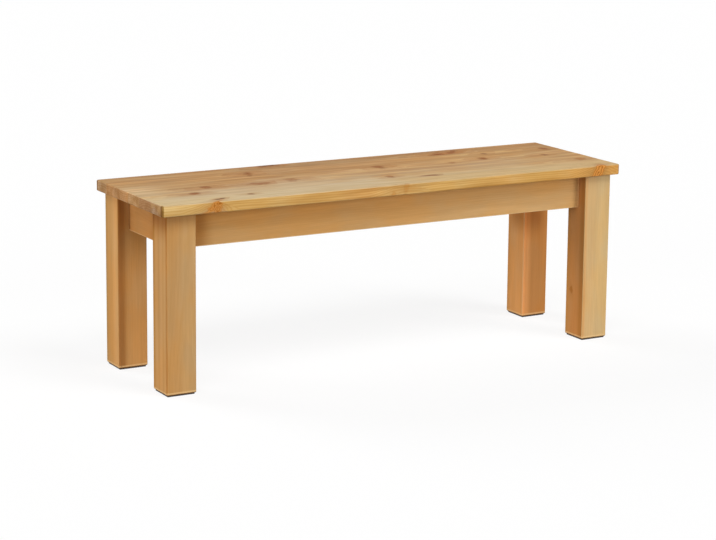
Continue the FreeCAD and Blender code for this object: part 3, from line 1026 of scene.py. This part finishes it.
# %% Staves at the back
stave(
    "seat_stave_4", heart=(0.0, 0.10), ring_width=0.0048, heart_size=0.15, seed=27, cup=-1,
    tone=(1.00, 1.02, 1.08), end_tone=(0.75, 0.58, 0.45),
    left_tone=(1.15, 1.30, 1.65),
    bands=[Band("top", at=1020, reach=230, tone=(1.10, 1.14, 1.18))],
    knots=[
        Knot(x=66, y=40, radius=12, wide=1.7, dark=0.85),
        Knot(x=366, y=36, radius=11, dark=1.0),
        Knot(x=537, y=9, radius=9, dark=0.9, bark=0.3),
        Knot(x=261, y=15, radius=7, dark=0.5),
    ],
)
stave(
    "seat_stave_5", heart=(0.01, -0.07), ring_width=0.0044, heart_size=0.14, seed=34, cup=1,
    tone=(0.96, 0.95, 0.97), end_tone=(0.80, 0.72, 0.75),
    left_tone=(1.10, 1.14, 1.18),
    bands=[
        Band("top", at=470, reach=290, tone=(0.91, 0.89, 0.91)),
        Band("top", at=1090, reach=280, tone=(1.09, 1.11, 1.07)),
    ],
    knots=[
        Knot(x=-269, y=104, radius=11, wide=2.4, slant=0.3, dark=0.95),
        Knot(x=406, y=92, radius=8, dark=0.85, bark=0.3),
        Knot(x=590, y=89, radius=12, dark=0.9),
    ],
)
stave(
    "seat_stave_6", heart=(-0.01, -0.08), ring_width=0.0050, heart_size=0.15, seed=45, cup=-1,
    tone=(0.92, 0.91, 0.93), end_tone=(0.88, 0.94, 1.24),
    bands=[Band("top", at=600, reach=450, tone=(0.91, 0.90, 0.91))],
    knots=[
        Knot(x=-175, y=182, radius=12, long=3.0, wide=1.2, tail=1.5, dark=1.0, bark=0.35),
        Knot(x=288, y=130, radius=19, wide=1.2, slant=0.5, dark=1.0),
        Knot(x=346, y=152, radius=15, wide=1.4, slant=1.0, dark=1.0),
    ],
)

# %% [markdown]
# Legs and rails are squared timber, all but free of knots. Their CAD shapes are right, so they only get a
# finish. On a leg the grain runs upwards, on a rail it runs along the rail, and each has a tree of its own.

# %% From a tree to a squared timber
TIMBER_RINGS = 0.0026
TIMBER_HEART = 0.20
TIMBER_LINES = 0.14
TIMBER_ARRIS_WEAR_AND_HIGHLIGHT = 0.5
TIMBER_LEFT = 0.012


def refinish(name, material):
    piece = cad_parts[name]
    for slot in piece.material_slots:
        slot.material = material


def squared(name, grain, **looks):
    tree = dict(grain=grain, ring_width=TIMBER_RINGS, heart_size=TIMBER_HEART, lines=TIMBER_LINES)
    tree.update(arris=TIMBER_ARRIS_WEAR_AND_HIGHLIGHT, left_reach=TIMBER_LEFT, foot=grain == "z")
    tree.update(looks)
    refinish(name, pine(name + "_pine", node_box(name), tree, LEG_WOOD))
    print(name, "bands", len(tree.get("bands", ())))


# %% Front legs
squared(
    "front_left_leg", "z", heart=(0.02, 0.07), seed=51, arris=0.0,
    tone=(0.85, 0.87, 0.97),
    left_tone=(1.15, 1.06, 0.93), left_reach=0.004,
    # painted shade under the seat at the top of the leg
    top_tone=(0.82, 0.76, 0.70), top_reach=0.05,
    bands=[
        Band("left", at=0, reach=18, tone=(0.78, 0.68, 0.40)),
        Band("left", at=33, reach=7, tone=(0.92, 0.88, 0.82)),
        Band("left", at=56, reach=6, tone=(0.93, 0.90, 0.84)),
        Band("left", at=75, reach=8, tone=(0.86, 0.80, 0.72)),
        # painted shade under the seat on the upper left face, fading downwards
        Band("left", at=37, reach=90, tone=(0.73, 0.61, 0.43), fade=(15, 75)),
        Band("front", at=10, reach=34, tone=(0.97, 0.92, 0.84)),
        Band("front", at=60, reach=34, tone=(1.02, 1.06, 1.11)),
    ],
)
squared(
    "front_right_leg", "z", heart=(-0.06, 0.06), heart_size=0.10, seed=58,
    tone=(0.83, 0.79, 0.81), left_tone=(1.04, 0.86, 0.72),
    bands=[
        Band("left", at=0, reach=16, tone=(0.93, 0.95, 0.78)),
        # painted shadow of the front left leg along the front of the left face
        Band("left", at=72, reach=26, tone=(0.80, 0.76, 0.60)),
        Band("front", at=66, reach=48, tone=(0.97, 1.03, 1.08)),
    ],
    knots=[Knot(x=539, y=-124, z=124, radius=4, long=2.0, wide=1.0, dark=0.65, orange=0.3)],
)

# %% Back legs
squared(
    "back_left_leg", "z", heart=(-0.06, 0.03), seed=63, arris=0.0,
    tone=(0.89, 0.80, 0.74),
    left_tone=(1.09, 1.10, 1.04), left_reach=0.004,
    bands=[
        Band("left", at=0, reach=18, tone=(0.82, 0.90, 0.95)),
        Band("left", at=68, reach=34, tone=(1.17, 1.22, 1.40)),
        # painted shadow of the front left leg on the left strip of the front face
        Band("front", at=3, reach=23, tone=(0.69, 0.57, 0.46)),
        Band("front", at=62, reach=44, tone=(1.06, 1.06, 1.08)),
    ],
)
squared(
    "back_right_leg", "z", heart=(0.09, 0.04), seed=71,
    tone=(0.88, 0.78, 0.71), left_tone=(1.30, 1.27, 1.37),
    bands=[
        Band("front", at=37, reach=200, tone=(0.98, 0.87, 0.80)),
        Band("left", at=0, reach=16, tone=(0.85, 0.84, 0.76)),
        # painted shade under the seat and rails at the top of the left face
        Band("left", at=60, reach=70, tone=(0.66, 0.56, 0.42), fade=(150, 215)),
        # painted highlight beside the front left edge
        Band("front", at=4, reach=24, tone=(1.36, 1.36, 1.48)),
        # painted shade under the front rail at the top of the front face
        Band("front", at=26, reach=50, tone=(0.72, 0.62, 0.54), fade=(150, 225)),
    ],
)

# %% Rails and cleats
squared(
    "front_rail", "x", heart=(0.05, 0.03), seed=82,
    tone=(1.05, 1.10, 1.25),
    # painted shade, darker towards the left end beside the front left leg
    left_tone=(0.86, 0.79, 0.68), left_reach=1.0,
    # painted shade under the seat along the top of the rail
    top_tone=(1.04, 0.95, 0.80), top_reach=0.06,
    bands=[
        # painted shadow of the front left leg at the left end
        Band("front", at=0, reach=62, tone=(0.76, 0.65, 0.52)),
        # painted highlight on the rounded right end
        Band("front", at=1077, reach=6, tone=(1.25, 1.28, 1.36)),
    ],
)
squared("back_rail", "x", heart=(-0.05, 0.02), seed=88)
squared(
    "left_rail", "y", heart=(0.06, 0.03), seed=93,
    tone=(0.89, 0.73, 0.60),
    bands=[
        Band("left", at=0, reach=50, tone=(1.22, 1.20, 1.20)),
        # painted shade in the corner where the rail meets the back left leg
        Band("left", at=0, reach=10, tone=(0.50, 0.42, 0.34)),
        # painted shade of the front left leg at the front end
        Band("left", at=198, reach=90, tone=(0.82, 0.75, 0.62)),
    ],
)
squared("right_rail", "y", heart=(-0.06, 0.03), seed=97)
squared("front_cleat", "x", heart=(0.03, -0.06), heart_size=0.05, seed=104)
squared("back_cleat", "x", heart=(-0.03, -0.06), heart_size=0.05, seed=109)

# %% [markdown]
# The corner brackets, bolts, nuts, washers and screws are steel with a thin coat of zinc. Zinc is not one
# grey: the coat has a faint bluish and yellowish cloud from its bath, and fine scratches from handling.

# %% Zinc steel
ZINC_BLUE = colour(178, 184, 190)
ZINC_YELLOW = colour(186, 182, 166)
ZINC_BATH = (60, 60, 60)
ZINC_SCRATCHES = (300, 300, 2600)
ZINC_GRAIN = (1900, 1900, 1900)


def zinc(name):
    material, graph = new_finish(name)
    place = graph.place()
    bath = graph.speckle(place, ZINC_BATH, detail=3.0)
    scratch = graph.speckle(place, ZINC_SCRATCHES)
    grain = graph.speckle(place, ZINC_GRAIN)
    metal = graph.mixed(graph.step(bath, 0.35, 0.65), ZINC_BLUE, ZINC_YELLOW)
    metal = graph.tinted(1.0, metal, graph.grey(0.85 + 0.2 * scratch))
    rough = 0.26 + 0.14 * bath + 0.12 * scratch
    bump = graph.bump(grain * 0.02 + scratch * 0.02, strength=0.4)
    graph.surface({"Base Color": metal, "Metallic": 1.0, "Roughness": rough, "Normal": bump})
    return material


CORNERS = ["front_left", "front_right", "back_left", "back_right"]
STEEL_NODES = [corner + "_bracket" for corner in CORNERS]
STEEL_NODES += ["bolt_washers", "bolt_nuts", "bracket_screws", "seat_screws", "cleat_screws"]
zinc_steel = zinc("zinc_steel_passivated")
for name in STEEL_NODES:
    refinish(name, zinc_steel)
print("steel nodes:", len(STEEL_NODES))

# %% [markdown]
# A hanger bolt has two threads: a coarse one that bites into the leg, and a fine one for the nut. A thread
# could be left to a bump in the finish, but the end of the bolt stands free of its nut, and its outline would
# stay smooth. So the thread is a surface: rings of points round the bolt's axis, and a radius that rises and
# falls once in each turn of the thread.

# %% Outline of a thread
BOLT_RADIUS = 0.004
BOLT_TIP = 0.006
BOLT_BEVEL = 0.001
BLUNT_POINT = 0.0003
WOOD_THREAD = 0.040
WOOD_PITCH = 0.0030
WOOD_CORE = 0.0028
NUT_THREAD = 0.022
NUT_PITCH = 0.00125
NUT_CORE = 0.00325


def bolt_radius(run, length, turn):
    if WOOD_THREAD < run < length - NUT_THREAD:
        return BOLT_RADIUS
    pitch, core = (WOOD_PITCH, WOOD_CORE) if run <= WOOD_THREAD else (NUT_PITCH, NUT_CORE)
    tooth = 1 - abs(2 * ((run / pitch - turn) % 1.0) - 1)
    tapered = min(BOLT_RADIUS * run / BOLT_TIP, BOLT_RADIUS - BOLT_BEVEL + length - run)
    return max(BLUNT_POINT, min(core + (BOLT_RADIUS - core) * tooth, tapered))


print("depth of the nut's thread:", round(BOLT_RADIUS - NUT_CORE, 5))

# %% Where a bolt is in the frame
def bolt_ends(side_x, side_y):
    points = []
    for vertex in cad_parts["hanger_bolts"].data.vertices:
        if vertex.co.x * side_x > 0 and vertex.co.y * side_y > 0:
            points.append(vertex.co)
    low, high = box_of(points)
    middle = (low + high) / 2
    inwards = Vector((-side_x, -side_y, 0)).normalized()
    runs = [point.dot(inwards) for point in points]
    start = middle + inwards * (min(runs) - middle.dot(inwards))
    return start, inwards, max(runs) - min(runs)


print("length of a bolt:", round(bolt_ends(-1, -1)[2], 4))

# %% Threaded hanger bolts
BOLT_SIDES = 24
TURN_STEPS = 6


def even_runs(start, end, step):
    count = round((end - start) / step)
    return [start + (end - start) * number / count for number in range(count + 1)]


def add_bolt(start, inwards, length, points, faces):
    up = Vector((0, 0, 1))
    aside = inwards.cross(up)
    runs = even_runs(0, WOOD_THREAD, WOOD_PITCH / TURN_STEPS)
    runs += even_runs(length - NUT_THREAD, length, NUT_PITCH / TURN_STEPS)
    first = len(points)
    for run in runs:
        for number in range(BOLT_SIDES):
            turn = number / BOLT_SIDES
            arm = math.cos(turn * math.tau) * up + math.sin(turn * math.tau) * aside
            points.append(start + inwards * run + arm * bolt_radius(run, length, turn))
    rings = [[first + ring * BOLT_SIDES + k for k in range(BOLT_SIDES)] for ring in range(len(runs))]
    for near, far in zip(rings, rings[1:]):
        for k in range(BOLT_SIDES):
            faces.append([near[k - 1], near[k], far[k], far[k - 1]])
    faces.append(rings[0][::-1])
    faces.append(rings[-1])


bolt_points = []
bolt_faces = []
for side_x in (-1, 1):
    for side_y in (-1, 1):
        add_bolt(*bolt_ends(side_x, side_y), bolt_points, bolt_faces)
bolt_mesh = smooth_mesh("hanger_bolts_threaded", bolt_points, bolt_faces)
bolts = add_piece("hanger_bolts_threaded", bolt_mesh, zinc_steel, ["hanger_bolts"])
print(bolts.name, "points", len(bolt_points))

# %% [markdown]
# Under each leg is a dark plastic glide. It is moulded, so it has a fine matt texture, and its rim is scuffed
# a little paler where it meets the floor.

# %% Glides
GLIDE_DARK = colour(34, 24, 14)
GLIDE_SCUFF = colour(74, 58, 42)
GLIDE_PEBBLES = (1400, 1400, 1400)
GLIDE_SCUFFS = (260, 260, 900)
GLIDE_RIM = 0.0022


def glide_plastic(name):
    material, graph = new_finish(name)
    place = graph.place()
    pebbles = graph.speckle(place, GLIDE_PEBBLES)
    scuffs = graph.speckle(place, GLIDE_SCUFFS, detail=3.0)
    worn = graph.fade(graph.parts(place)[2], 0.0, GLIDE_RIM) * graph.step(scuffs, 0.5, 0.7)
    plastic = graph.mixed(worn * 0.7, GLIDE_DARK, GLIDE_SCUFF)
    rough = 0.5 + 0.2 * pebbles + 0.1 * worn
    bump = graph.bump(pebbles * 0.05, strength=0.5)
    graph.surface({"Base Color": plastic, "Roughness": rough, "Normal": bump})
    return material


dark_plastic = glide_plastic("glide_plastic_moulded")
for corner in CORNERS:
    refinish(corner + "_glide", dark_plastic)
print("glides:", len(CORNERS))

# %% [markdown]
# The dowels that join rails to legs are beech, which is plain and pinkish with short dark flecks.

# %% Dowels
BEECH = colour(206, 168, 130)
BEECH_FLECK = colour(158, 112, 78)
BEECH_CLOUD = colour(214, 196, 178)
BEECH_FLECKS = (420, 420, 1300)
BEECH_CLOUDS = (35, 35, 90)


def beech(name):
    material, graph = new_finish(name)
    place = graph.place()
    flecks = graph.speckle(place, BEECH_FLECKS)
    cloudy = graph.speckle(place, BEECH_CLOUDS)
    wood = graph.mixed(graph.step(flecks, 0.58, 0.70) * 0.7, BEECH, BEECH_FLECK)
    wood = graph.tinted(cloudy * 0.4, wood, BEECH_CLOUD)
    rough = 0.55 + 0.15 * flecks
    bump = graph.bump(flecks * 0.05, strength=0.3)
    graph.surface({"Base Color": wood, "Roughness": rough, "Normal": bump})
    return material


refinish("rail_dowels", beech("dowel_beech_turned"))
print("dowels: beech")
